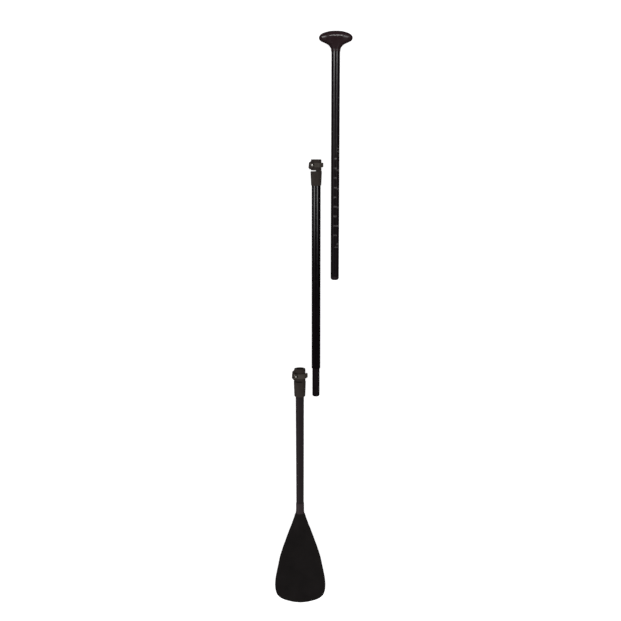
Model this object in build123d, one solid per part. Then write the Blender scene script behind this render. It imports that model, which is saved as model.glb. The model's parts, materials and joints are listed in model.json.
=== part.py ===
from build123d import *
import os
from dataclasses import dataclass
from math import cos, radians, sin

# Three-piece adjustable paddle, taken apart and laid flat on its back.
# +X across, +Y along the shafts towards the grip, +Z up from the ground. Millimetres.
# The origin is on the ground under the middle of the whole layout.

# ---------------------------------------------------------------- layout
LENGTH_OVERALL = 1888.8          # blade tip to the crown of the grip, as laid out
TIP_Y = -LENGTH_OVERALL / 2
CROWN_Y = LENGTH_OVERALL / 2
LOWER_X = -39.0                  # centre line of the blade section
MIDDLE_X = 13.8                  # centre line of the middle section
UPPER_X = 73.3                   # centre line of the grip section
LOWER_Z = 19.6                   # each section lies on its widest round part
MIDDLE_Z = 17.9
UPPER_Z = 19.6

# ---------------------------------------------------------------- blade section
BLADE_LENGTH = 334.0             # root to tip
BLADE_WIDTH = 172.0
BLADE_ROOT_Y = TIP_Y + BLADE_LENGTH
BLADE_DROP = 17.9                # how far the tip dips below the shaft's centre line
BLADE_DISH = 5.0                 # rise of the rim above the middle of the face
BLADE_CORE = 4.6                 # thickness along the middle at the root
BLADE_TIP_CORE = 3.0             # thickness along the middle at the tip
BLADE_RIM = 1.8                  # thickness at the rim
SLAB_HALF = 95.0                 # half width of the dished sheet before it is cut to outline

COLLAR_LENGTH = 35.5             # ferrule between shaft and blade
COLLAR_R = 13.3
COLLAR_FLARE_R = 14.6
COLLAR_FLARE = 7.0

LOWER_TUBE_R = 13.5
LOWER_TUBE_NECK_R = 12.45
LOWER_BORE_R = 11.85             # slides over the spigot
LOWER_NECK_BORE_R = 10.6
LOWER_BUNG_R = 11.6              # the bung sits below the socket's step
LOWER_SOCKET = 130.0             # parallel length at the top of the tube
LOWER_TOP_Y = -113.3             # open end of the lower clamp
TANG_LENGTH = 45.0

# ---------------------------------------------------------------- middle section
MIDDLE_TUBE_R = 14.1
MIDDLE_BORE_R = 13.2             # the grip section slides in here
SHOULDER_Y = -111.9              # lower end of the middle tube
MIDDLE_TOP_Y = 558.2             # open end of the middle clamp
SPIGOT_R = 11.75
SPIGOT_WALL = 1.85
SPIGOT_REACH = 94.3              # length that stands out of the tube
SPIGOT_SEAT = 60.0               # length glued inside the tube
SPIGOT_SEAT_R = 13.4
CAP_LENGTH = 8.0
CAP_STEM = 15.0

# ---------------------------------------------------------------- grip section
UPPER_TUBE_R = 13.1
UPPER_BORE_R = 11.9
UPPER_END_Y = 178.1
END_PLUG_LENGTH = 11.0
END_PLUG_STEM = 25.0
GRIP_HEIGHT = 60.9
GRIP_SEAM_Y = CROWN_Y - GRIP_HEIGHT
GRIP_WIDTH = 103.4
GRIP_DEPTH = 39.0
GRIP_STEM = 40.0
BUNG_LENGTH = 40.0

# ---------------------------------------------------------------- clamp, shared sizes
CLAMP_ROLL = 15.0                # both clamps lie rolled this much about their tube
SLIT = 2.0                       # gap between the ears
SLOT = 3.0                       # cross slot that frees the split band from its sleeve
BOLT_X = -17.5                   # bolt's distance from the tube's centre line
BOLT_R = 2.0
BOLT_HOLE_R = 2.3
BOLT_HEAD_R = 3.5
BOLT_HEAD = 4.0
HEX_R = 1.6
PLATE = 0.8                      # thickness of the cam pad and of the washer
PAD_HALF = 4.6                   # half the cam pad's width across the bolt
WASHER_R = 4.4
BARREL_R = 3.5
BARREL_FIT = 0.06                # running fit of the barrel in the lever
CAM_R = 5.5
CAM_OFFSET = 0.62                # the cam's centre from the pivot
CAM_LEAD = 15.0                  # how far past dead centre the closed cam sits, degrees
CAM_GAP = 0.15
CAM_REST = CAM_R + CAM_OFFSET * cos(radians(CAM_LEAD))
CAM_LIFT = 2 * CAM_OFFSET * cos(radians(CAM_LEAD))    # the bolt comes down this far, opened
CAM_ROOM = 0.35                  # clearance cut in the collar round the turning cam
ARM_GAP = 0.7                    # between the lever's arm and the band
ARM_START = 142.0                # the arm runs between these angles round the band
ARM_END = 19.0
FORK_GAP = 5.2                   # the bolt passes between the lever's two cheeks
LEVER_CORNER = 2.6               # rounded corners of the lever seen from above


@dataclass
class Clamp:
    name: str
    x: float
    z: float
    top_y: float
    bore_r: float
    tube_r: float
    band_r: float
    band_length: float
    sleeve_r: float
    sleeve_end_r: float
    length: float
    ear: float
    ear_start: float
    ear_end: float
    reach: float
    lever_y: float
    lever_width: float
    tip_x: float
    tip_z: float

    @property
    def pivot_z(self):
        return self.ear + PLATE + CAM_GAP + CAM_REST


LOWER_CLAMP = Clamp(
    name="lower", x=LOWER_X, z=LOWER_Z, top_y=LOWER_TOP_Y,
    bore_r=LOWER_BORE_R, tube_r=LOWER_TUBE_R, band_r=18.4, band_length=39.5,
    sleeve_r=LOWER_Z, sleeve_end_r=18.05, length=92.9,
    ear=8.0, ear_start=5.5, ear_end=37.0, reach=24.8,
    lever_y=-22.4, lever_width=15.0, tip_x=24.7, tip_z=7.0,
)
MIDDLE_CLAMP = Clamp(
    name="middle", x=MIDDLE_X, z=MIDDLE_Z, top_y=MIDDLE_TOP_Y,
    bore_r=MIDDLE_BORE_R, tube_r=MIDDLE_TUBE_R, band_r=16.5, band_length=34.0,
    sleeve_r=MIDDLE_Z, sleeve_end_r=16.1, length=81.7,
    ear=7.0, ear_start=5.0, ear_end=31.0, reach=23.4,
    lever_y=-17.6, lever_width=14.0, tip_x=21.5, tip_z=6.0,
)
CLAMPS = (LOWER_CLAMP, MIDDLE_CLAMP)


# ---------------------------------------------------------------- helpers
def turned(points):
    """A solid of revolution about Y from an outline of (radius, y) points."""
    face = make_face(Polyline(*points, close=True))
    return revolve(face, Axis.Y, 360)


def rod(radius, y_low, y_high, bore=0.0):
    """A round bar or tube along Y between two stations."""
    return turned([(bore, y_low), (radius, y_low), (radius, y_high), (bore, y_high)])


def upright(radius, z_low, z_high):
    """A round bar along Z on the local origin."""
    bar = Cylinder(radius, z_high - z_low, align=(Align.CENTER, Align.CENTER, Align.MIN))
    return Pos(0, 0, z_low) * bar


def block(x_span, y_span, z_span):
    """A box from three (low, high) spans."""
    size = [high - low for low, high in (x_span, y_span, z_span)]
    centre = [(high + low) / 2 for low, high in (x_span, y_span, z_span)]
    return Pos(*centre) * Box(*size)


def softened(solid, picker, radius):
    """The solid with the edges that picker accepts rounded off."""
    chosen = [edge for edge in solid.edges() if picker(edge)]
    return fillet(chosen, radius)


# ---------------------------------------------------------------- clamp pieces
def in_place(clamp, piece):
    """From the clamp's own frame (origin at its open end, bolt upright) to the layout."""
    return Pos(clamp.x, clamp.top_y, clamp.z) * Rot(0, CLAMP_ROLL, 0) * piece


def ears(clamp):
    """The block beside the band that the slit parts into two ears."""
    outline = Polyline(
        (0, -clamp.ear_start),
        (-clamp.band_r + 1.5, -clamp.ear_start),
        (-clamp.reach + 1.6, -clamp.ear_start - 5.5),
        (-clamp.reach, -clamp.ear_end + 5.0),
        (-clamp.reach + 3.6, -clamp.ear_end),
        (0, -clamp.ear_end),
        close=True,
    )
    return extrude(make_face(outline), amount=clamp.ear, both=True)


def clamp_collar(clamp):
    """Sleeve on the tube and the split band that grips the next section."""
    step_y = -clamp.band_length - SLOT
    end_y = -clamp.length
    body = turned([
        (clamp.bore_r, -0.8), (clamp.bore_r + 0.8, 0),
        (clamp.band_r - 1.4, 0), (clamp.band_r, -1.4),
        (clamp.band_r, step_y + 1.0), (clamp.sleeve_r, step_y - 1.0),
        (clamp.sleeve_end_r, end_y + 3.2), (clamp.sleeve_end_r - 0.5, end_y + 1.0),
        (clamp.sleeve_end_r - 1.5, end_y), (clamp.tube_r, end_y),
        (clamp.tube_r, step_y), (clamp.bore_r, step_y),
    ])
    bore = rod(clamp.bore_r, -clamp.length, 1)
    body = body + (ears(clamp) - bore)
    slit = block((-clamp.reach - 2, 0), (step_y, 1), (-SLIT / 2, SLIT / 2))
    slot = block((-clamp.sleeve_r - 9, 3.1), (step_y, -clamp.band_length),
                 (-clamp.sleeve_r - 9, clamp.sleeve_r + 9))
    hole = Pos(BOLT_X, clamp.lever_y, 0) * upright(BOLT_HOLE_R, -clamp.ear - 2, clamp.ear + 9)
    seat_y = (clamp.lever_y - clamp.lever_width / 2 - 0.8, clamp.lever_y + clamp.lever_width / 2 + 0.8)
    seat = block((-2 * clamp.reach, BOLT_X + PAD_HALF + 0.4), seat_y, (clamp.ear, clamp.pivot_z))
    sweep = rod(CAM_R + CAM_OFFSET + CAM_ROOM, *seat_y)
    relief = Pos(BOLT_X, 0, clamp.pivot_z) * sweep
    relief = relief + Pos(BOLT_X, 0, clamp.pivot_z - CAM_LIFT) * sweep
    relief = relief & block((-2 * clamp.reach, 0), seat_y, (clamp.ear, 4 * clamp.ear))
    spotface = Pos(BOLT_X, clamp.lever_y, 0) * upright(WASHER_R + 0.5, -2 * clamp.ear, -clamp.ear)
    return body - slit - slot - hole - seat - relief - spotface


def lever(clamp):
    """Cam head, arm curved over the band and a thumb tab, seen along the tube."""
    width = clamp.lever_width
    lead = radians(CAM_LEAD - 90)
    inner_r = clamp.band_r + ARM_GAP
    outer_centre = (1.5, 1.0)
    outer_r = clamp.tip_x - outer_centre[0] - 1.4
    cam_at = (BOLT_X + CAM_OFFSET * cos(lead), clamp.pivot_z + CAM_OFFSET * sin(lead))
    far = 2 * clamp.sleeve_r
    wedge = make_face(Polyline(
        (0, 0),
        (far * cos(radians(ARM_END)), far * sin(radians(ARM_END))),
        (far, far),
        (-far, far),
        (far * cos(radians(ARM_START)), far * sin(radians(ARM_START))),
        close=True,
    ))
    arm = (Pos(*outer_centre) * Circle(outer_r) - Circle(inner_r)) & wedge
    tab = Pos(clamp.tip_x - 2.5, clamp.tip_z) * Circle(2.5)
    side = arm + Pos(*cam_at) * Circle(CAM_R) + tab
    side = side - Pos(BOLT_X, clamp.pivot_z) * Circle(BARREL_R + BARREL_FIT)
    body = extrude(Plane.XZ * side, amount=width, both=True)
    plan = Pos((clamp.tip_x + BOLT_X - 2 * BARREL_R) / 2, 0) * RectangleRounded(
        clamp.tip_x - BOLT_X + 2 * BARREL_R, width, LEVER_CORNER)
    body = body & extrude(plan, amount=far, both=True)
    fork = block((BOLT_X - 2 * CAM_R, BOLT_X + CAM_R + 1.2), (-FORK_GAP / 2, FORK_GAP / 2),
                 (-far, far))
    return Pos(0, clamp.lever_y, 0) * (body - fork)


def barrel(clamp):
    """Cross barrel in the lever's cheeks, tapped for the bolt."""
    bar = rod(BARREL_R, -clamp.lever_width / 2 + 0.4, clamp.lever_width / 2 - 0.4)
    bar = bar - upright(BOLT_R, -2 * BARREL_R, 2 * BARREL_R)
    return Pos(BOLT_X, clamp.lever_y, clamp.pivot_z) * bar


def bolt(clamp):
    """Bolt up through both ears into the barrel, its socket head underneath."""
    seat = -clamp.ear - PLATE
    shank = upright(BOLT_R, seat, clamp.pivot_z + BARREL_R + 0.6)
    head = upright(BOLT_HEAD_R, seat - BOLT_HEAD, seat)
    hexagon = extrude(Pos(0, 0, seat - BOLT_HEAD) * RegularPolygon(HEX_R, 6), amount=2.2)
    piece = shank + head - hexagon
    piece = softened(piece, lambda e: e.geom_type == GeomType.CIRCLE
                     and abs(e.center().Z - seat + BOLT_HEAD) < 1e-3, 0.4)
    return Pos(BOLT_X, clamp.lever_y, 0) * piece


def washer(clamp):
    """Washer between the bolt's head and the lower ear."""
    ring = upright(WASHER_R, -clamp.ear - PLATE, -clamp.ear)
    ring = ring - upright(BOLT_R, -2 * clamp.ear, 0)
    return Pos(BOLT_X, clamp.lever_y, 0) * ring


def cam_pad(clamp):
    """Steel pad on the upper ear that the cam presses on."""
    plate = block((-PAD_HALF, PAD_HALF), (-clamp.lever_width / 2, clamp.lever_width / 2),
                  (clamp.ear, clamp.ear + PLATE))
    plate = plate - upright(BOLT_HOLE_R, 0, 2 * clamp.ear)
    return Pos(BOLT_X, clamp.lever_y, 0) * plate


# ---------------------------------------------------------------- blade section
def blade_drop(along):
    """Depth of the blade's middle below the shaft's centre line."""
    return BLADE_DROP * (along / BLADE_LENGTH) ** 1.5


def blade_outline():
    """Half outline as (half width, distance from the root), mirrored to a closed face."""
    half = BLADE_WIDTH / 2
    flank = Spline(
        (COLLAR_FLARE_R + 1.5, 0), (half * 0.285, -28), (half * 0.582, -85),
        (half * 0.831, -172), (half, -266),
        tangents=((0.45, -1), (0, -1)),
    )
    corner = Spline(
        (half, -266), (half * 0.935, -300), (half * 0.66, -321.5), (0, -BLADE_LENGTH),
        tangents=((0, -1), (-1, 0)),
    )
    root = Line((0, 0), (COLLAR_FLARE_R + 1.5, 0))
    centre = Line((0, -BLADE_LENGTH), (0, 0))
    right = make_face([root, flank, corner, centre])
    return right + mirror(right, Plane.YZ)


def sheet_section(along):
    """Cross-section of the dished sheet at a distance from the root."""
    share = along / BLADE_LENGTH
    core = BLADE_CORE + (BLADE_TIP_CORE - BLADE_CORE) * share
    middle = -blade_drop(along)
    rim = middle + BLADE_DISH
    top = ThreePointArc((-SLAB_HALF, rim + BLADE_RIM / 2), (0, middle + core / 2),
                        (SLAB_HALF, rim + BLADE_RIM / 2))
    bottom = ThreePointArc((SLAB_HALF, rim - BLADE_RIM / 2), (0, middle - core / 2),
                           (-SLAB_HALF, rim - BLADE_RIM / 2))
    sides = [Line(top @ 1, bottom @ 0), Line(bottom @ 1, top @ 0)]
    face = make_face([top, sides[0], bottom, sides[1]])
    return Pos(0, -along, 0) * (Plane.XZ * face)


def spine_section(along, half_width, half_depth, sink):
    """Oval cross-section of the neck that fades into the back of the blade."""
    return Pos(0, -along, -sink) * (Plane.XZ * Ellipse(half_width, half_depth))


def blade():
    """Blade with its neck, and the tang that goes up into the shaft."""
    stations = [0, 70, 140, 210, 280, BLADE_LENGTH]
    sheet = loft([sheet_section(along) for along in stations])
    outline = extrude(blade_outline(), amount=60, both=True)
    sheet = sheet & outline
    spine = loft([
        spine_section(0, COLLAR_FLARE_R, COLLAR_FLARE_R - 1.0, 0),
        spine_section(30, 14.6, 10.4, 1.2),
        spine_section(80, 12.4, 6.2, 3.6),
        spine_section(150, 8.2, 3.0, 6.6),
        spine_section(215, 3.2, 1.2, 9.9),
    ])
    tang = rod(LOWER_NECK_BORE_R, 0, TANG_LENGTH)
    return Pos(LOWER_X, BLADE_ROOT_Y, LOWER_Z) * (sheet + spine + tang)


def blade_collar():
    """Ferrule over the joint of shaft and blade, flared at the blade's end."""
    top_y = COLLAR_LENGTH
    ring = turned([
        (LOWER_TUBE_NECK_R, top_y), (COLLAR_R - 0.4, top_y), (COLLAR_R, top_y - 0.6),
        (COLLAR_R + 0.3, COLLAR_FLARE), (COLLAR_R + 0.7, COLLAR_FLARE / 2),
        (COLLAR_FLARE_R, 0.8), (COLLAR_FLARE_R, 0.05), (LOWER_TUBE_NECK_R, 0.05),
    ])
    return Pos(LOWER_X, BLADE_ROOT_Y, LOWER_Z) * ring


def lower_shaft():
    """Tube that is parallel where the spigot goes in and then tapers to the blade."""
    top_y = LOWER_TOP_Y - LOWER_CLAMP.band_length - SLOT
    socket_y = top_y - LOWER_SOCKET
    neck_y = BLADE_ROOT_Y + COLLAR_LENGTH
    end_y = BLADE_ROOT_Y + 0.05
    tube = turned([
        (LOWER_BORE_R, top_y), (LOWER_TUBE_R, top_y), (LOWER_TUBE_R, socket_y + 70),
        (LOWER_TUBE_NECK_R, neck_y), (LOWER_TUBE_NECK_R, end_y),
        (LOWER_NECK_BORE_R, end_y), (LOWER_NECK_BORE_R, neck_y + TANG_LENGTH),
        (LOWER_BUNG_R, socket_y - BUNG_LENGTH - 4), (LOWER_BUNG_R, socket_y),
        (LOWER_BORE_R, socket_y),
    ])
    return Pos(LOWER_X, 0, LOWER_Z) * tube


def lower_shaft_bung():
    """Foam bung below the deepest reach of the spigot."""
    high = LOWER_TOP_Y - LOWER_CLAMP.band_length - SLOT - LOWER_SOCKET - 2
    return Pos(LOWER_X, 0, LOWER_Z) * rod(LOWER_BUNG_R, high - BUNG_LENGTH, high)


# ---------------------------------------------------------------- middle section
def middle_shaft():
    """Plain tube, open at the clamp's end and bored out a little for the spigot."""
    top_y = MIDDLE_TOP_Y - MIDDLE_CLAMP.band_length - SLOT
    tube = rod(MIDDLE_TUBE_R, SHOULDER_Y, top_y, bore=MIDDLE_BORE_R)
    tube = tube - rod(SPIGOT_SEAT_R, SHOULDER_Y - 1, SHOULDER_Y + SPIGOT_SEAT)
    return Pos(MIDDLE_X, 0, MIDDLE_Z) * tube


def spigot():
    """Hollow plug: its thick half is glued in the tube, its slim half stands out."""
    bore = SPIGOT_R - SPIGOT_WALL
    end_y = SHOULDER_Y - SPIGOT_REACH + CAP_LENGTH
    plug = turned([
        (bore, end_y), (SPIGOT_R, end_y), (SPIGOT_R, SHOULDER_Y), (SPIGOT_SEAT_R, SHOULDER_Y),
        (SPIGOT_SEAT_R, SHOULDER_Y + SPIGOT_SEAT), (bore, SHOULDER_Y + SPIGOT_SEAT),
    ])
    return Pos(MIDDLE_X, 0, MIDDLE_Z) * plug


def end_cap(radius, stem_r, length, stem):
    """Domed plug along Y: dome below zero, stem above."""
    dome = rod(radius, -length, 0)
    dome = softened(dome, lambda e: e.geom_type == GeomType.CIRCLE
                    and abs(e.center().Y + length) < 1e-3, length * 0.62)
    return dome + rod(stem_r, 0, stem)


def spigot_cap():
    """Closes the spigot's lower end."""
    cap = end_cap(SPIGOT_R, SPIGOT_R - SPIGOT_WALL, CAP_LENGTH, CAP_STEM)
    return Pos(MIDDLE_X, SHOULDER_Y - SPIGOT_REACH + CAP_LENGTH, MIDDLE_Z) * cap


# ---------------------------------------------------------------- grip section
def upper_shaft():
    """Plain tube between the end plug and the grip."""
    tube = rod(UPPER_TUBE_R, UPPER_END_Y + END_PLUG_LENGTH, GRIP_SEAM_Y, bore=UPPER_BORE_R)
    return Pos(UPPER_X, 0, UPPER_Z) * tube


def upper_end_plug():
    """Closes the grip section's lower end."""
    plug = end_cap(UPPER_TUBE_R, UPPER_BORE_R, END_PLUG_LENGTH, END_PLUG_STEM)
    return Pos(UPPER_X, UPPER_END_Y + END_PLUG_LENGTH, UPPER_Z) * plug


def upper_shaft_bung():
    """Foam bung that lets the grip section float."""
    low = UPPER_END_Y + END_PLUG_LENGTH + END_PLUG_STEM + 4
    return Pos(UPPER_X, 0, UPPER_Z) * rod(UPPER_BORE_R, low, low + BUNG_LENGTH)


def palm_grip():
    """Mushroom-shaped palm grip, oval in plan, with a stem down into the tube."""
    half = GRIP_WIDTH / 2
    neck = UPPER_TUBE_R + 1.0
    sections = [           # distance below the crown, half width, half depth
        (0.0, 12.0, 4.0),
        (1.6, half * 0.44, 9.0),
        (5.0, half * 0.67, 13.5),
        (11.0, half * 0.90, 17.9),
        (16.0, half * 0.975, GRIP_DEPTH / 2),
        (21.0, half, 19.2),
        (27.5, half * 0.955, 18.0),
        (33.5, half * 0.77, 17.0),
        (39.5, half * 0.52, 16.0),
        (47.0, half * 0.345, 15.1),
        (54.0, neck + 0.2, neck + 0.1),
        (GRIP_HEIGHT, neck, neck),
    ]
    ovals = [Pos(0, CROWN_Y - down, 0) * (Plane.XZ * Ellipse(wide, deep))
             for down, wide, deep in sections]
    body = loft(ovals)
    stem = rod(UPPER_BORE_R, GRIP_SEAM_Y - GRIP_STEM, GRIP_SEAM_Y)
    return Pos(UPPER_X, 0, UPPER_Z) * (body + stem)


# ---------------------------------------------------------------- files
def write(name, piece):
    """One STEP file per node."""
    piece.label = name
    export_step(piece, f"parts/{name}.step")


os.makedirs("parts", exist_ok=True)

write("blade", blade())
write("blade_collar", blade_collar())
write("lower_shaft", lower_shaft())
write("lower_shaft_bung", lower_shaft_bung())
write("middle_shaft", middle_shaft())
write("spigot", spigot())
write("spigot_cap", spigot_cap())
write("upper_shaft", upper_shaft())
write("upper_end_plug", upper_end_plug())
write("upper_shaft_bung", upper_shaft_bung())
write("palm_grip", palm_grip())

CLAMP_PIECES = {
    "collar": clamp_collar,
    "lever": lever,
    "barrel": barrel,
    "bolt": bolt,
    "washer": washer,
    "pad": cam_pad,
}
for clamp in CLAMPS:
    for piece_name, make in CLAMP_PIECES.items():
        write(f"{clamp.name}_clamp_{piece_name}", in_place(clamp, make(clamp)))
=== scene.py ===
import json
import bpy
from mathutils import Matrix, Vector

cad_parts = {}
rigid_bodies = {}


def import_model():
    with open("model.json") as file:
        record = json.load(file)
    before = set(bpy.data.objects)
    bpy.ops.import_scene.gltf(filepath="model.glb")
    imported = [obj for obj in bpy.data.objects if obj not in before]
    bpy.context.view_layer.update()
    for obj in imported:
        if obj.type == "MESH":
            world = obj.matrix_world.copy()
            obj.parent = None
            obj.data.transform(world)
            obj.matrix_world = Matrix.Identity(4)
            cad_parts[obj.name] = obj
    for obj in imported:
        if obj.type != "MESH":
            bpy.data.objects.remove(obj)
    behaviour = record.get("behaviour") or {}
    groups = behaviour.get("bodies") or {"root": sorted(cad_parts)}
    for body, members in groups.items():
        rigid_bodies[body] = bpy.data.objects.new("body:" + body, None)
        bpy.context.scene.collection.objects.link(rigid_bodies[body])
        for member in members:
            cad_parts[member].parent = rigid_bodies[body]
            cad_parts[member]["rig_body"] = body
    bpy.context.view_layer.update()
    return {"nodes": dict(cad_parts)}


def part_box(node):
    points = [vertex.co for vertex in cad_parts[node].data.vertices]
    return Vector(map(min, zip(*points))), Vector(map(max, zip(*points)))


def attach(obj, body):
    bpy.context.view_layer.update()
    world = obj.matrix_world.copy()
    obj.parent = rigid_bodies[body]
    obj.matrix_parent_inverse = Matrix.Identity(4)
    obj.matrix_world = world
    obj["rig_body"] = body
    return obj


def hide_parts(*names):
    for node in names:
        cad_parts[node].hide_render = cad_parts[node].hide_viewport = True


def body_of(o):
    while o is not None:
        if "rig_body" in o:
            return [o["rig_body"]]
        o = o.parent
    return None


bl_info = {
    "name": "Three-piece adjustable paddle",
    "version": (1, 0, 0),
    "blender": (4, 5, 0),
    "location": "3D View > Sidebar > Paddle",
    "description": "Builds a taken-apart stand-up paddle with lever clamps round its CAD frame",
    "category": "Add Mesh",
}

from math import cos, pi, radians, sin, sqrt, tan

import bmesh
import bpy
from mathutils import Vector

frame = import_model()

MM = 0.001

# The blade's half outline: distance from the root and half width, in millimetres.
BLADE_OUTLINE = [
    (0, 14.6), (5.4, 17.3), (12.7, 19.2), (27, 24.2), (41.6, 29.1), (56, 34.9), (70.6, 40.0),
    (85, 45.2), (100, 50.2), (114, 55.3), (129, 60.1), (143, 64.4), (157, 68.4), (172, 71.6),
    (187, 74.6), (201, 77.4), (216, 80.3), (230, 83.0), (244, 84.8), (262, 86.0), (275, 85.6),
    (288, 83.7), (302.6, 78.5), (309.8, 72.7), (317, 64.0), (324.4, 49.5), (328, 38.0),
    (331.6, 25.0), (334, 0),
]
# Height of the ridge over the sheet's middle, on the face and on the back, and its half width.
FACE_RIDGE = [(0, 13.6), (30, 8.0), (60, 4.6), (90, 2.9), (140, 2.2), (334, 1.5)]
BACK_RIDGE = [(0, 13.6), (30, 11.1), (80, 7.7), (150, 4.2), (215, 2.2), (334, 1.5)]
RIDGE_WIDTH = [(0, 14.6), (30, 14.6), (80, 12.4), (150, 8.2), (215, 4.0), (334, 4.0)]
SHEET_HALF = 95.0

# The palm grip seen from above and from the side: distance below the crown, half size.
GRIP_WIDTHS = [
    (0, 0), (0.6, 15.0), (3.5, 28.6), (6.5, 37.6), (9.4, 42.7), (12.4, 46.5), (15.3, 48.3),
    (18.3, 49.6), (21.2, 49.8), (24.2, 49.2), (27.1, 48.0), (30.1, 45.1), (33, 39.5),
    (36, 33.2), (38.9, 26.8), (41.9, 22.3), (44.8, 19.3), (47.8, 16.9), (50.7, 15.3),
    (53.7, 14.4), (58, 14.1), (60.9, 14.1),
]
GRIP_DEPTHS = [
    (0, 0), (0.6, 5.6), (1.6, 9.0), (5, 13.5), (11, 17.9), (16, 19.4), (21, 19.1), (27.5, 18.0),
    (33.5, 17.0), (39.5, 16.0), (47, 15.1), (54, 14.3), (58, 14.1), (60.9, 14.1),
]

# The two columns of the printed scale: first number, step, count, place of the first, pitch.
SCALE_COLUMNS = [
    {"first": 189, "step": 3, "count": 9, "start": 559.8, "pitch": 29.8, "turn": -1.0},
    {"first": 160, "step": 5, "count": 6, "start": 581.9, "pitch": 57.74, "turn": 41.0},
]
SCALE_LINES = [(591.4, 0.45, 1.05), (284.0, -0.15, 0.95)]

# Each section's pair of long softboxes: lean and spread in degrees, brightness, and panels
# along the layout as from and to (metres) and share of the brightness.
SOFTBOXES = {
    "upper": {
        "sides": [(-43, 27, 7.4), (36, 22, 5.6)],
        "panels": [(-0.25, 0.74, 0.03), (0.74, 0.86, 0.08), (0.86, 0.96, 0.18), (0.96, 1.06, 0.38),
                   (1.06, 1.16, 0.68), (1.16, 1.50, 1.0)],
    },
    "middle": {
        "sides": [(-46, 26, 4.6), (31, 22, 4.6)],
        "panels": [(0.02, 0.12, 0.12), (0.12, 0.24, 0.42), (0.24, 0.60, 1.0)],
    },
    "lower": {
        "sides": [(-46, 36, 3.0), (34, 30, 1.2)],
        "panels": [(-1.70, -0.80, 1.0)],
    },
}
LIGHT_DISTANCE = 2.5

# Single softboxes: size and place in metres, lean in degrees, brightness.
SINGLE_SOFTBOXES = {
    "head_softbox": ((1.7, 0.5), (0.16, 1.95, 2.3), -28, 22.0),
    "flank_softbox": ((2.4, 1.5), (0.07, -1.45, 2.2), 35, 0.9),
    "foot_softbox": ((0.7, 0.5), (-0.1, -0.75, 2.4), 15, 6.0),
}
FLOOR_HALF = 6.0
FLOOR_DROP = 0.0004
FLOOR_GLOW = 0.78
GLOSSY_DAYLIGHT = 0.043
SENSOR_WIDTH = 36.0
LENS = 51.01449
CAMERA_TARGET = (-0.004, 0.0783, 0.0187)

CLAMPS = {"lower": "lower_section", "middle": "middle_section"}
STEEL_NODES = ("bolt", "barrel", "washer", "pad")


# ------------------------------------------------------------------ settings
def box_size(node):
    """Size of a CAD node's box, in metres."""
    low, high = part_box(node)
    return high - low


class PaddleBladeSettings(bpy.types.PropertyGroup):
    """Sizes and colour of the blade."""

    width: bpy.props.FloatProperty(
        name="Width", description="Widest part of the blade",
        default=box_size("blade").x, unit="LENGTH")
    drop: bpy.props.FloatProperty(
        name="Drop", description="How far the tip dips below the shaft's centre line",
        default=0.0179, unit="LENGTH")
    dish: bpy.props.FloatProperty(
        name="Dish", description="Rise of the rim above the middle of the face",
        default=0.005, unit="LENGTH")
    core: bpy.props.FloatProperty(
        name="Core", description="Thickness along the middle", default=0.0044, unit="LENGTH")
    rim: bpy.props.FloatProperty(
        name="Rim", description="Thickness at the rim", default=0.0018, unit="LENGTH")
    colour: bpy.props.FloatVectorProperty(
        name="Colour", description="Moulded black of the blade",
        default=(0.0110, 0.0086, 0.0084), subtype="COLOR", min=0, max=1)
    ferrule_colour: bpy.props.FloatVectorProperty(
        name="Ferrule", description="Grey of the ferrule at the blade's root",
        default=(0.0400, 0.0278, 0.0303), subtype="COLOR", min=0, max=1)


class PaddleShaftSettings(bpy.types.PropertyGroup):
    """Finish of the tubes and of the spigot."""

    edge: bpy.props.FloatProperty(
        name="Edge", description="Rounding of the tubes' rims", default=0.0003, unit="LENGTH")
    matte_colour: bpy.props.FloatVectorProperty(
        name="Lower tube", description="Charcoal of the tube above the blade",
        default=(0.0234, 0.0168, 0.0182), subtype="COLOR", min=0, max=1)
    gloss_colour: bpy.props.FloatVectorProperty(
        name="Gloss tubes", description="Black lacquer of the middle and grip sections",
        default=(0.0030, 0.0014, 0.0023), subtype="COLOR", min=0, max=1)
    spigot_colour: bpy.props.FloatVectorProperty(
        name="Spigot", description="Black of the spigot and of the end plugs",
        default=(0.0090, 0.0053, 0.0077), subtype="COLOR", min=0, max=1)
    gloss: bpy.props.FloatProperty(
        name="Gloss", description="Roughness of the polished ends of the lacquered tubes",
        default=0.15, min=0, max=1, subtype="FACTOR")
    satin: bpy.props.FloatProperty(
        name="Satin", description="Roughness of the worn lower ends of the lacquered tubes",
        default=0.24, min=0, max=1, subtype="FACTOR")


class PaddleGripSettings(bpy.types.PropertyGroup):
    """Sizes and colour of the palm grip."""

    width: bpy.props.FloatProperty(
        name="Width", description="Width of the palm grip",
        default=box_size("palm_grip").x, unit="LENGTH")
    depth: bpy.props.FloatProperty(
        name="Depth", description="Thickness of the palm grip",
        default=box_size("palm_grip").z, unit="LENGTH")
    colour: bpy.props.FloatVectorProperty(
        name="Colour", description="Dark brown-black of the grip",
        default=(0.0120, 0.0060, 0.0070), subtype="COLOR", min=0, max=1)


class PaddleClampSettings(bpy.types.PropertyGroup):
    """Finish of the two lever clamps."""

    edge: bpy.props.FloatProperty(
        name="Edge", description="Rounding of the moulded edges", default=0.0005, unit="LENGTH")
    collar_colour: bpy.props.FloatVectorProperty(
        name="Collar", description="Warm grey of the glass-filled nylon collars",
        default=(0.0384, 0.0301, 0.0257), subtype="COLOR", min=0, max=1)
    lever_colour: bpy.props.FloatVectorProperty(
        name="Lever", description="Warm grey of the levers",
        default=(0.0640, 0.0542, 0.0444), subtype="COLOR", min=0, max=1)
    steel_colour: bpy.props.FloatVectorProperty(
        name="Steel", description="Stainless bolts, barrels and pads",
        default=(0.62, 0.60, 0.56), subtype="COLOR", min=0, max=1)


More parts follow.
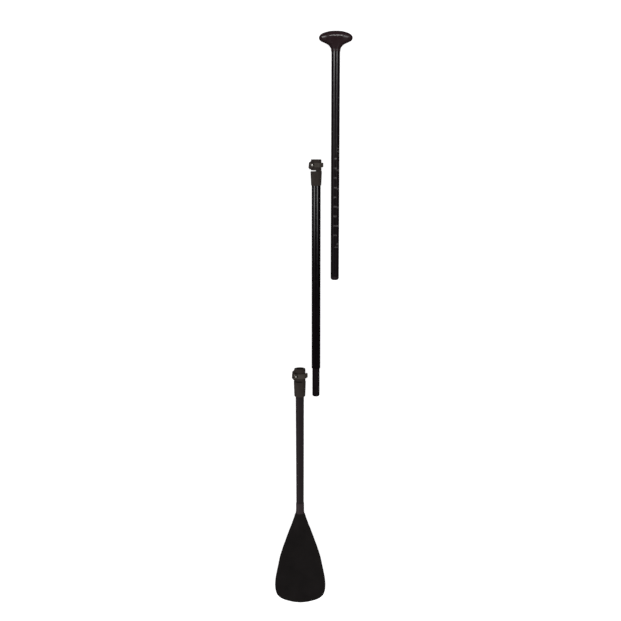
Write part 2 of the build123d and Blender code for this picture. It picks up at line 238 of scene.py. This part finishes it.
class PaddleScaleSettings(bpy.types.PropertyGroup):
    """The printed length scale on the grip section."""

    height: bpy.props.FloatProperty(
        name="Height", description="Height of the numbers", default=0.0048, unit="LENGTH")
    thickness: bpy.props.FloatProperty(
        name="Thickness", description="Thickness of the print", default=0.00012, unit="LENGTH")
    colour: bpy.props.FloatVectorProperty(
        name="Colour", description="Light grey ink", default=(0.085, 0.077, 0.082),
        subtype="COLOR", min=0, max=1)


class PaddleStageSettings(bpy.types.PropertyGroup):
    """Camera, floor and light."""

    distance: bpy.props.FloatProperty(
        name="Distance", description="Camera to the middle of the layout",
        default=2.834, unit="LENGTH")
    tilt: bpy.props.FloatProperty(
        name="Tilt", description="How far the camera leans from straight above",
        default=radians(10), subtype="ANGLE")
    daylight: bpy.props.FloatProperty(
        name="Daylight", description="Even light from all round", default=0.65, min=0)
    softbox: bpy.props.FloatProperty(
        name="Softboxes", description="Brightness of the softboxes", default=1.0, min=0)
    floor_colour: bpy.props.FloatVectorProperty(
        name="Floor", description="Near-white paper", default=(0.86, 0.86, 0.86),
        subtype="COLOR", min=0, max=1)


# ------------------------------------------------------------------ shape helpers
def smooth_curve(table):
    """A function through a table of (station, value) that never overshoots it."""
    rises = [(b[1] - a[1]) / (b[0] - a[0]) for a, b in zip(table, table[1:])]
    inner = [0 if l * r <= 0 else 2 * l * r / (l + r) for l, r in zip(rises, rises[1:])]
    slopes = [rises[0], *inner, rises[-1]]

    def value(station):
        station = min(max(station, table[0][0]), table[-1][0])
        at = max(i for i in range(len(table) - 1) if i == 0 or table[i][0] <= station)
        (low, from_value), (high, to_value) = table[at], table[at + 1]
        span = high - low
        share = (station - low) / span
        rest = 1 - share
        return (from_value * rest * rest * (1 + 2 * share)
                + to_value * share * share * (3 - 2 * share)
                + span * share * rest * (slopes[at] * rest - slopes[at + 1] * share))

    return value


def smooth_step(share):
    """Eases from 0 to 1."""
    share = min(max(share, 0), 1)
    return share * share * (3 - 2 * share)


def wrapped(place, around, along):
    """A grid rolled up into a closed skin: place(turn, run) gives each corner's position."""
    bm = bmesh.new()
    bmesh.ops.create_grid(bm, x_segments=around, y_segments=along, size=1)
    for vert in bm.verts:
        vert.co = place((vert.co.x + 1) / 2, (vert.co.y + 1) / 2)
    return bm


def spun(outline, steps=96, closed=True):
    """An outline of (radius, y) spun round the Y axis."""
    bm = bmesh.new()
    verts = [bm.verts.new((radius, y, 0)) for radius, y in outline]
    edges = [bm.edges.new(pair) for pair in zip(verts, verts[1:])]
    if closed:
        edges.append(bm.edges.new((verts[-1], verts[0])))
    bmesh.ops.spin(bm, geom=verts + edges, cent=(0, 0, 0), axis=(0, 1, 0), dvec=(0, 0, 0),
                   angle=2 * pi, steps=steps, use_merge=True, use_normal_flip=False,
                   use_duplicate=False)
    return bm


def piece(bm, name, body, nodes, finish, sharp=35.0, centre=(0, 0, 0)):
    """Closes the skin, makes it an object and ties it to the frame."""
    bmesh.ops.translate(bm, verts=bm.verts, vec=centre)
    bmesh.ops.remove_doubles(bm, verts=bm.verts, dist=1e-6)
    bmesh.ops.recalc_face_normals(bm, faces=bm.faces)
    if not bm.faces:
        raise RuntimeError(f"{name} has no faces")
    mesh = bpy.data.meshes.new(name)
    bm.to_mesh(mesh)
    bm.free()
    mesh.shade_smooth()
    mesh.set_sharp_from_angle(angle=radians(sharp))
    mesh.materials.append(finish)
    obj = bpy.data.objects.new(name, mesh)
    bpy.context.scene.collection.objects.link(obj)
    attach(obj, body)
    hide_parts(*nodes)
    return obj


def rounded_edges(obj, width, segments=2, angle=35.0):
    """Finishes an object's sharp edges with a small radius."""
    bevel = obj.modifiers.new("Rounded edges", "BEVEL")
    bevel.width = width
    bevel.segments = segments
    bevel.limit_method = "ANGLE"
    bevel.angle_limit = radians(angle)
    bevel.harden_normals = True
    return bevel


# ------------------------------------------------------------------ finishes
def add_node(tree, kind, **values):
    """A shader node with its plain settings."""
    node = tree.nodes.new(kind)
    for key, value in values.items():
        setattr(node, key, value)
    return node


def noise(tree, place, scale, detail=4.0, roughness=0.55):
    """Noise on the object's own coordinates."""
    node = add_node(tree, "ShaderNodeTexNoise")
    node.inputs["Scale"].default_value = scale
    node.inputs["Detail"].default_value = detail
    node.inputs["Roughness"].default_value = roughness
    tree.links.new(place, node.inputs["Vector"])
    return node.outputs["Fac"]


def ranged(tree, source, low, high, to_low, to_high, ease="LINEAR"):
    """Maps a value from one range to another."""
    node = add_node(tree, "ShaderNodeMapRange", interpolation_type=ease)
    node.inputs["From Min"].default_value = low
    node.inputs["From Max"].default_value = high
    node.inputs["To Min"].default_value = to_low
    node.inputs["To Max"].default_value = to_high
    tree.links.new(source, node.inputs["Value"])
    return node.outputs["Result"]


def start_finish(name):
    """An empty material with its shader and object coordinates."""
    material = bpy.data.materials.new(name)
    material.use_nodes = True
    tree = material.node_tree
    shader = tree.nodes["Principled BSDF"]
    place = add_node(tree, "ShaderNodeTexCoord").outputs["Object"]
    return material, tree, shader, place


def tinted(tree, shader, source, colour, spread):
    """Colours the surface a little darker and lighter along a pattern."""
    ramp = add_node(tree, "ShaderNodeValToRGB")
    low, high = ramp.color_ramp.elements
    low.position = 0.3
    high.position = 0.7
    low.color = (*[part * (1 - spread) for part in colour], 1)
    high.color = (*[part * (1 + spread) for part in colour], 1)
    tree.links.new(source, ramp.inputs["Fac"])
    tree.links.new(ramp.outputs["Color"], shader.inputs["Base Color"])
    return ramp


def bumped(tree, shader, source, strength, distance):
    """Raises the surface along a pattern."""
    bump = add_node(tree, "ShaderNodeBump")
    bump.inputs["Strength"].default_value = strength
    bump.inputs["Distance"].default_value = distance
    tree.links.new(source, bump.inputs["Height"])
    tree.links.new(bump.outputs["Normal"], shader.inputs["Normal"])


def moulded(name, colour, roughness, sheen, spread=0.12, patch=40.0, grain=900.0,
            depth=0.00006):
    """Moulded plastic with soft patches and a fine grain; sheen is how strongly it shines."""
    material, tree, shader, place = start_finish(name)
    shader.inputs["Specular IOR Level"].default_value = sheen
    cloud = noise(tree, place, patch)
    tinted(tree, shader, cloud, colour, spread)
    rough = ranged(tree, cloud, 0.3, 0.7, roughness - 0.05, roughness + 0.05)
    tree.links.new(rough, shader.inputs["Roughness"])
    bumped(tree, shader, noise(tree, place, grain, 2.0), 0.5, depth)
    return material


def lacquered(name, colour, gloss, satin, fade):
    """Black lacquer on a tube, polished at one end and worn to satin at the other."""
    material, tree, shader, place = start_finish(name)
    cloud = noise(tree, place, 18.0)
    tinted(tree, shader, cloud, colour, 0.15)
    split = add_node(tree, "ShaderNodeSeparateXYZ")
    tree.links.new(place, split.inputs["Vector"])
    rough = ranged(tree, split.outputs["Y"], fade[0], fade[1], satin, gloss, "SMOOTHSTEP")
    wear = ranged(tree, cloud, 0.3, 0.7, -0.02, 0.02)
    both = add_node(tree, "ShaderNodeMath", operation="ADD")
    tree.links.new(rough, both.inputs[0])
    tree.links.new(wear, both.inputs[1])
    tree.links.new(both.outputs["Value"], shader.inputs["Roughness"])
    bumped(tree, shader, noise(tree, place, 260.0, 2.0), 0.1, 0.000005)
    return material


def polished_steel(colour):
    """Bright stainless steel with faint turning marks."""
    material, tree, shader, place = start_finish("steel")
    shader.inputs["Metallic"].default_value = 1.0
    tinted(tree, shader, noise(tree, place, 300.0), colour, 0.06)
    marks = noise(tree, place, 1400.0, 3.0)
    tree.links.new(ranged(tree, marks, 0.3, 0.7, 0.28, 0.42), shader.inputs["Roughness"])
    return material


def closed_cell_foam():
    """Grey foam with small cells."""
    material, tree, shader, place = start_finish("foam")
    cells = add_node(tree, "ShaderNodeTexVoronoi")
    cells.inputs["Scale"].default_value = 700.0
    tree.links.new(place, cells.inputs["Vector"])
    tinted(tree, shader, cells.outputs["Distance"], (0.30, 0.30, 0.30), 0.25)
    shader.inputs["Roughness"].default_value = 0.9
    bumped(tree, shader, cells.outputs["Distance"], 0.6, 0.0002)
    return material


def printed_ink(colour):
    """Screen-printed ink, a little uneven."""
    material, tree, shader, place = start_finish("scale_ink")
    tinted(tree, shader, noise(tree, place, 900.0), colour, 0.2)
    shader.inputs["Roughness"].default_value = 0.55
    return material


# ------------------------------------------------------------------ blade section
def centre_of(node):
    """Centre of a round CAD node, across and up."""
    low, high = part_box(node)
    return (low.x + high.x) / 2, (low.z + high.z) / 2


def blade_skin(settings):
    """The dished blade with a ridge that rises into its neck and tang."""
    tip_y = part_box("blade")[0].y
    root_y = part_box("blade_collar")[0].y
    x_middle, z_middle = centre_of("blade_collar")
    length = (root_y - tip_y) / MM
    widen = settings.width / MM / 172.0
    outline = smooth_curve(sorted((sqrt(length - min(along, length)), half)
                                  for along, half in BLADE_OUTLINE))
    ridges = {1: smooth_curve(FACE_RIDGE), -1: smooth_curve(BACK_RIDGE)}
    ridge_width = smooth_curve(RIDGE_WIDTH)
    tang_length = 44.0
    tang_r = 10.5
    neck_r = 13.6
    lead = 4
    steps = 150

    def place(turn, run):
        angle = 2 * pi * turn
        across, lift = cos(angle), sin(angle)
        row = round(run * (steps + lead - 1))
        if row < lead:
            radius = (0, tang_r, tang_r, neck_r)[row]
            y = (tang_length, tang_length, 0.3, 0.3)[row]
            return Vector((x_middle + radius * across * MM, root_y + y * MM,
                           z_middle + radius * lift * MM))
        left = sqrt(length) * (1 - (row - lead) / (steps - 1))
        along = max(0.0, length - left * left)
        half = outline(left) * (widen if along > 20 else 1)
        side = 1 if lift >= 0 else -1
        x = half * across
        core = settings.core / MM / 2 * (1 - 0.3 * along / length)
        rim = settings.rim / MM / 2
        edge = abs(lift) ** 0.4
        sheet = (settings.dish / MM * (x / SHEET_HALF) ** 2
                 + side * edge * (rim + (core - rim) * lift * lift))
        reach = 1.75 * ridge_width(along)
        swell = max(0.0, ridges[side](along) - core)
        swell *= 0.5 + 0.5 * cos(pi * min(1, abs(x) / reach))
        flat = sheet + side * edge * swell
        blend = smooth_step(along / 24)
        height = neck_r * lift * (1 - blend) + flat * blend
        height -= settings.drop / MM * (along / length) ** 1.5
        return Vector((x_middle + x * MM, root_y - along * MM, z_middle + height * MM))

    return wrapped(place, 112, steps + lead)


class PADDLE_OT_blade(bpy.types.Operator):
    """Build the blade and the ferrule at its root"""

    bl_idname = "paddle.build_blade"
    bl_label = "Blade"

    def execute(self, context):
        settings = context.scene.paddle_blade
        black = moulded("blade_black", settings.colour, 0.62, 0.12, 0.16, 22.0, 1100.0, 0.00008)
        piece(blade_skin(settings), "blade_moulding", "lower_section", ["blade"],
              black, sharp=50)
        low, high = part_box("blade_collar")
        x_middle, z_middle = centre_of("blade_collar")
        top = (high.y - low.y) / MM
        outline = [(12.45, 0), (14.3, 0), (14.6, 0.4), (14.55, 1.2), (14.1, 3.2), (13.75, 5.4),
                   (13.6, 7.0), (13.35, top - 5), (13.3, top - 0.7), (13.0, top), (12.45, top)]
        ring = spun([(r * MM, y * MM) for r, y in outline])
        grey = moulded("ferrule_grey", settings.ferrule_colour, 0.45, 0.12, 0.1, 60.0)
        piece(ring, "ferrule", "lower_section", ["blade_collar"], grey,
              centre=(x_middle, low.y, z_middle))
        return {"FINISHED"}


# ------------------------------------------------------------------ tubes and plugs
class PADDLE_OT_tubes(bpy.types.Operator):
    """Build the three tubes"""

    bl_idname = "paddle.build_tubes"
    bl_label = "Tubes"

    def execute(self, context):
        settings = context.scene.paddle_shaft
        x_middle, z_middle = centre_of("lower_shaft")
        low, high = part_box("lower_shaft")
        length = (high.y - low.y) / MM
        outline = [(10.65, 0), (12.4, 0), (12.45, 35.4), (13.5, length - 60), (13.5, length),
                   (11.85, length), (11.85, length - 130), (11.6, length - 130),
                   (11.6, length - 174), (10.65, 80)]
        tube = spun([(r * MM, y * MM) for r, y in outline])
        matte = moulded("shaft_matte", settings.matte_colour, 0.5, 0.12, 0.1, 35.0, 700.0, 0.00004)
        obj = piece(tube, "lower_tube", "lower_section", ["lower_shaft"], matte,
                    centre=(x_middle, low.y, z_middle))
        rounded_edges(obj, settings.edge)

        for name, body, bore, seat, satin, fade in (
            ("middle_shaft", "middle_section", 13.2, 13.4, settings.gloss + 0.04, (0.10, 0.40)),
            ("upper_shaft", "upper_section", 11.9, 11.9, settings.satin, (0.58, 0.86)),
        ):
            x_middle, z_middle = centre_of(name)
            low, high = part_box(name)
            radius = (high.x - low.x) / 2
            length = high.y - low.y
            outline = [(seat * MM, 0), (radius, 0), (radius, length), (bore * MM, length)]
            if seat != bore:
                outline += [(bore * MM, 60 * MM), (seat * MM, 60 * MM)]
            finish = lacquered(f"{name}_lacquer", settings.gloss_colour, settings.gloss, satin, fade)
            obj = piece(spun(outline), name.replace("shaft", "tube"), body,
                        [name], finish, centre=(x_middle, low.y, z_middle))
            rounded_edges(obj, settings.edge)
        return {"FINISHED"}


class PADDLE_OT_plugs(bpy.types.Operator):
    """Build the spigot and the plugs that close the tubes' lower ends"""

    bl_idname = "paddle.build_plugs"
    bl_label = "Spigot and plugs"

    def execute(self, context):
        settings = context.scene.paddle_shaft
        black = moulded("spigot_black", settings.spigot_colour, 0.4, 0.2, 0.15, 60.0, 700.0, 0.00003)
        plug_black = moulded("plug_black", settings.spigot_colour, 0.5, 0.2, 0.12, 90.0)

        x_middle, z_middle = centre_of("spigot")
        low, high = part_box("spigot")
        length = (high.y - low.y) / MM
        step = length - 60
        outline = [(9.9, 0), (11.75, 0), (11.75, step), (13.4, step), (13.4, length),
                   (9.9, length)]
        tube = spun([(r * MM, y * MM) for r, y in outline])
        obj = piece(tube, "spigot_tube", "middle_section", ["spigot"], black,
                    centre=(x_middle, low.y, z_middle))
        rounded_edges(obj, settings.edge)

        for node, name, body, radius, stem_r, dome, stem in (
            ("spigot_cap", "spigot_end_cap", "middle_section", 11.75, 9.9, 8.0, 15.0),
            ("upper_end_plug", "grip_tube_end_plug", "upper_section", 13.1, 11.9, 11.0, 25.0),
        ):
            x_middle, z_middle = centre_of(node)
            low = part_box(node)[0]
            soft = dome * 0.62
            bend = [(radius - soft * (1 - sin(turn)), soft * (1 - cos(turn)))
                    for turn in [pi / 2 * share / 8 for share in range(9)]]
            outline = [(0, 0), *bend, (radius, dome), (stem_r, dome), (stem_r, dome + stem),
                       (0, dome + stem)]
            plug = spun([(r * MM, y * MM) for r, y in outline], closed=False)
            piece(plug, name, body, [node], plug_black,
                  centre=(x_middle, low.y, z_middle))
        return {"FINISHED"}


# ------------------------------------------------------------------ palm grip
def grip_skin(settings):
    """The palm grip: an oval dome on a waist, with a stem down into the tube."""
    crown_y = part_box("palm_grip")[1].y
    x_middle, z_middle = centre_of("upper_shaft")
    widen = settings.width / MM / 2 / 49.9
    deepen = settings.depth / MM / 2 / 19.5
    width = smooth_curve([(sqrt(down), half) for down, half in GRIP_WIDTHS])
    depth = smooth_curve([(sqrt(down), half) for down, half in GRIP_DEPTHS])
    height = GRIP_WIDTHS[-1][0]
    foot = [(height + 0.01, 13.2), (height + 0.01, 11.85), (height + 40, 11.85), (height + 40, 0)]
    steps = 130

    def place(turn, run):
        angle = 2 * pi * turn
        row = round(run * (steps + len(foot) - 1))
        if row >= steps:
            down, wide = foot[row - steps]
            deep = wide
        else:
            root = sqrt(height) * row / (steps - 1)
            down = root * root
            share = smooth_step((height - down) / 12)
            wide = width(root) * (1 + (widen - 1) * share)
            deep = depth(root) * (1 + (deepen - 1) * share)
            if row >= steps - 2:
                wide -= 0.35 * (row - steps + 2)
                deep -= 0.35 * (row - steps + 2)
        return Vector((x_middle + wide * cos(angle) * MM, crown_y - down * MM,
                       z_middle + deep * sin(angle) * MM))

    return wrapped(place, 113, steps + len(foot))


class PADDLE_OT_grip(bpy.types.Operator):
    """Build the palm grip"""

    bl_idname = "paddle.build_grip"
    bl_label = "Palm grip"

    def execute(self, context):
        settings = context.scene.paddle_grip
        finish = moulded("grip_gloss", settings.colour, 0.21, 0.5, 0.12, 30.0, 900.0, 0.000002)
        piece(grip_skin(settings), "palm_grip_moulding", "upper_section",
              ["palm_grip"], finish, sharp=50)
        return {"FINISHED"}


# ------------------------------------------------------------------ clamps
def merged_copy(node):
    """A CAD node's shape with its corners joined and its flat faces made whole."""
    bm = bmesh.new()
    bm.from_mesh(frame["nodes"][node].data)
    bmesh.ops.remove_doubles(bm, verts=bm.verts, dist=2e-6)
    bmesh.ops.dissolve_limit(bm, angle_limit=radians(1), use_dissolve_boundaries=False,
                             verts=bm.verts, edges=bm.edges, delimit={"NORMAL"})
    return bm


class PADDLE_OT_clamps(bpy.types.Operator):
    """Build both clamps' collars and levers"""

    bl_idname = "paddle.build_clamps"
    bl_label = "Clamps"

    def execute(self, context):
        settings = context.scene.paddle_clamp
        nylon = moulded("clamp_nylon", settings.collar_colour, 0.55, 0.12, 0.14, 70.0, 800.0, 0.0001)
        lever = moulded("lever_nylon", settings.lever_colour, 0.42, 0.25, 0.12, 90.0, 800.0, 0.00006)
        for side, section in CLAMPS.items():
            collar_node = f"{side}_clamp_collar"
            obj = piece(merged_copy(collar_node), f"{side}_clamp_body", section,
                        [collar_node], nylon)
            rounded_edges(obj, settings.edge)
            lever_node = f"{side}_clamp_lever"
            obj = piece(merged_copy(lever_node), f"{side}_clamp_handle", f"{side}_lever",
                        [lever_node], lever)
            rounded_edges(obj, settings.edge)
        return {"FINISHED"}


class PADDLE_OT_hardware(bpy.types.Operator):
    """Give the bolts, barrels, washers, pads and bungs their finish"""

    bl_idname = "paddle.finish_hardware"
    bl_label = "Bolts and bungs"

    def execute(self, context):
        steel = polished_steel(context.scene.paddle_clamp.steel_colour)
        for side in CLAMPS:
            for part in STEEL_NODES:
                node = frame["nodes"][f"{side}_clamp_{part}"]
                node.data.materials.clear()
                node.data.materials.append(steel)
        foam = closed_cell_foam()
        for name in ("lower_shaft_bung", "upper_shaft_bung"):
            node = frame["nodes"][name]
            node.data.materials.clear()
            node.data.materials.append(foam)
        return {"FINISHED"}


# ------------------------------------------------------------------ printed scale
def flat_number(text, height, thickness):
    """A number as a thin solid, centred and lying flat, reading along X."""
    curve = bpy.data.curves.new("number", "FONT")
    curve.body = text
    curve.align_x = "CENTER"
    curve.align_y = "CENTER"
    curve.size = height / 0.7
    curve.extrude = thickness / 2
    curve.resolution_u = 3
    shape = bpy.data.objects.new("number", curve)
    bpy.context.scene.collection.objects.link(shape)
    bpy.context.view_layer.update()
    mesh = bpy.data.meshes.new_from_object(
        shape.evaluated_get(bpy.context.evaluated_depsgraph_get()))
    bm = bmesh.new()
    bm.from_mesh(mesh)
    bpy.data.objects.remove(shape)
    bpy.data.curves.remove(curve)
    bpy.data.meshes.remove(mesh)
    return bm


def onto_tube(bm, radius, centre, y, turn):
    """Cuts a flat piece into narrow strips and rolls it round the tube."""
    bmesh.ops.remove_doubles(bm, verts=bm.verts, dist=1e-7)
    reach = max(abs(vert.co.x) for vert in bm.verts)
    strip = 0.0006
    for step in range(-int(reach / strip), int(reach / strip) + 1):
        bmesh.ops.bisect_plane(bm, geom=bm.verts[:] + bm.edges[:] + bm.faces[:], dist=1e-9,
                               plane_co=(step * strip, 0, 0), plane_no=(1, 0, 0))
    for vert in bm.verts:
        angle = vert.co.x / radius + radians(turn)
        out = radius + vert.co.z
        vert.co = Vector((centre[0] + out * sin(angle), y + vert.co.y,
                          centre[1] + out * cos(angle)))


class PADDLE_OT_scale(bpy.types.Operator):
    """Print the length scale on the grip section's tube"""

    bl_idname = "paddle.print_scale"
    bl_label = "Printed scale"

    def execute(self, context):
        settings = context.scene.paddle_scale
        low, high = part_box("upper_shaft")
        radius = (high.x - low.x) / 2 + settings.thickness * 0.3
        centre = centre_of("upper_shaft")
        scale = bmesh.new()
        marks = bpy.data.meshes.new("mark")
        for column in SCALE_COLUMNS:
            for row in range(column["count"]):
                number = flat_number(str(column["first"] + column["step"] * row),
                                     settings.height, settings.thickness)
                y = (column["start"] - column["pitch"] * row) * MM
                onto_tube(number, radius, centre, y, column["turn"])
                number.to_mesh(marks)
                scale.from_mesh(marks)
                number.free()
        for y, left, right in SCALE_LINES:
            line = bmesh.new()
            bmesh.ops.create_cube(line, size=1)
            bmesh.ops.scale(line, verts=line.verts,
                            vec=((right - left) * radius, 0.0011, settings.thickness))
            onto_tube(line, radius, centre, y * MM, (left + right) / 2 * 180 / pi)
            line.to_mesh(marks)
            scale.from_mesh(marks)
            line.free()
        bpy.data.meshes.remove(marks)
        piece(scale, "scale_marks", "upper_section", [],
              printed_ink(settings.colour))
        return {"FINISHED"}


# ------------------------------------------------------------------ stage
def section_pieces(section):
    """The shown pieces of one section, gathered so that a light can be kept to them."""
    group = bpy.data.collections.new(f"{section}_pieces")
    for obj in bpy.context.scene.objects:
        bodies = body_of(obj) or [obj.name]
        if obj.type == "MESH" and bodies[0].startswith(section):
            group.objects.link(obj)
    if not group.objects:
        raise RuntimeError(f"{section} section has no pieces to light")
    return group


def steel_pieces():
    """The clamps' steel parts, gathered so that a light can be kept to them."""
    group = bpy.data.collections.new("steel_pieces")
    for side in CLAMPS:
        for part in STEEL_NODES:
            group.objects.link(frame["nodes"][f"{side}_clamp_{part}"])
    return group


def area_light(name, size, place, lean, radiance, group):
    """A soft rectangular light that faces the layout and lights one group of pieces."""
    light = bpy.data.lights.new(name, "AREA")
    light.shape = "RECTANGLE"
    light.size, light.size_y = size
    light.energy = radiance * pi * size[0] * size[1]
    obj = bpy.data.objects.new(name, light)
    obj.location = place
    obj.rotation_euler = lean
    bpy.context.scene.collection.objects.link(obj)
    obj.light_linking.receiver_collection = group


def softboxes(section, group, brightness):
    """A pair of long softboxes beside one section, in panels whose brightness differs."""
    for lean, spread, radiance in SOFTBOXES[section]["sides"]:
        turn = radians(lean)
        width = 2 * LIGHT_DISTANCE * tan(radians(spread) / 2)
        for low, high, share in SOFTBOXES[section]["panels"]:
            place = (LIGHT_DISTANCE * sin(turn), (low + high) / 2, LIGHT_DISTANCE * cos(turn))
            area_light(f"{section}_softbox", (width, high - low), place, (0, turn, 0),
                       radiance * share * brightness, group)


class PADDLE_OT_stage(bpy.types.Operator):
    """Set the floor, the light and the camera"""

    bl_idname = "paddle.set_stage"
    bl_label = "Stage"

    def execute(self, context):
        scene = context.scene
        settings = scene.paddle_stage

        bm = bmesh.new()
        bmesh.ops.create_grid(bm, x_segments=2, y_segments=2, size=FLOOR_HALF)
        bmesh.ops.translate(bm, verts=bm.verts, vec=(0, 0, -FLOOR_DROP))
        mesh = bpy.data.meshes.new("floor")
        bm.to_mesh(mesh)
        bm.free()
        floor = bpy.data.objects.new("floor", mesh)
        scene.collection.objects.link(floor)
        material, tree, shader, place = start_finish("floor_paper")
        tinted(tree, shader, noise(tree, place, 2.0), settings.floor_colour, 0.01)
        shader.inputs["Roughness"].default_value = 0.9
        shader.inputs["Specular IOR Level"].default_value = 0.1
        shader.inputs["Emission Color"].default_value = (1, 1, 1, 1)
        shader.inputs["Emission Strength"].default_value = FLOOR_GLOW
        mesh.materials.append(material)
        floor.visible_glossy = False

        world = bpy.data.worlds.new("daylight")
        world.use_nodes = True
        scene.world = world
        tree = world.node_tree
        background = tree.nodes["Background"]
        background.inputs["Color"].default_value = (1, 1, 1, 1)
        ray = add_node(tree, "ShaderNodeLightPath")
        strength = ranged(tree, ray.outputs["Is Glossy Ray"], 0, 1, settings.daylight,
                          settings.daylight * GLOSSY_DAYLIGHT)
        tree.links.new(strength, background.inputs["Strength"])

        groups = {section: section_pieces(section) for section in SOFTBOXES}
        for section, group in groups.items():
            softboxes(section, group, settings.softbox)
        lit = {"head_softbox": groups["upper"], "flank_softbox": groups["upper"],
               "foot_softbox": steel_pieces()}
        for name, (size, place, lean, radiance) in SINGLE_SOFTBOXES.items():
            area_light(name, size, place, (radians(lean), 0, 0), radiance * settings.softbox,
                       lit[name])

        camera_data = bpy.data.cameras.new("camera")
        camera_data.sensor_width = SENSOR_WIDTH
        camera_data.lens = LENS
        camera = bpy.data.objects.new("camera", camera_data)
        scene.collection.objects.link(camera)
        target = Vector(CAMERA_TARGET)
        back = Vector((0, sin(settings.tilt), cos(settings.tilt)))
        camera.location = target + back * settings.distance
        camera.rotation_euler = (-settings.tilt, 0, 0)
        scene.camera = camera
        scene.view_settings.view_transform = "Standard"
        return {"FINISHED"}


# ------------------------------------------------------------------ sidebar
STEPS = (
    PADDLE_OT_blade,
    PADDLE_OT_tubes,
    PADDLE_OT_plugs,
    PADDLE_OT_grip,
    PADDLE_OT_clamps,
    PADDLE_OT_hardware,
    PADDLE_OT_scale,
    PADDLE_OT_stage,
)
SETTINGS = {
    "paddle_blade": PaddleBladeSettings,
    "paddle_shaft": PaddleShaftSettings,
    "paddle_grip": PaddleGripSettings,
    "paddle_clamp": PaddleClampSettings,
    "paddle_scale": PaddleScaleSettings,
    "paddle_stage": PaddleStageSettings,
}


class PADDLE_PT_sidebar(bpy.types.Panel):
    """Lists the paddle's pieces and their settings"""

    bl_label = "Paddle"
    bl_idname = "PADDLE_PT_sidebar"
    bl_space_type = "VIEW_3D"
    bl_region_type = "UI"
    bl_category = "Paddle"

    def draw(self, context):
        layout = self.layout
        for step in STEPS:
            layout.operator(step.bl_idname)
        for name in SETTINGS:
            group = getattr(context.scene, name)
            box = layout.box()
            box.label(text=name.replace("paddle_", "").capitalize())
            for key in group.bl_rna.properties.keys():
                if key not in ("rna_type", "name"):
                    box.prop(group, key)


def register():
    for name, group in SETTINGS.items():
        bpy.utils.register_class(group)
        setattr(bpy.types.Scene, name, bpy.props.PointerProperty(type=group))
    for step in STEPS:
        bpy.utils.register_class(step)
    bpy.utils.register_class(PADDLE_PT_sidebar)


def unregister():
    bpy.utils.unregister_class(PADDLE_PT_sidebar)
    for step in reversed(STEPS):
        bpy.utils.unregister_class(step)
    for name, group in reversed(SETTINGS.items()):
        delattr(bpy.types.Scene, name)
        bpy.utils.unregister_class(group)


def main():
    """Registers the add-on and builds every piece in order."""
    register()
    bpy.ops.paddle.build_blade()
    bpy.ops.paddle.build_tubes()
    bpy.ops.paddle.build_plugs()
    bpy.ops.paddle.build_grip()
    bpy.ops.paddle.build_clamps()
    bpy.ops.paddle.finish_hardware()
    bpy.ops.paddle.print_scale()
    bpy.ops.paddle.set_stage()


if __name__ == "__main__":
    main()
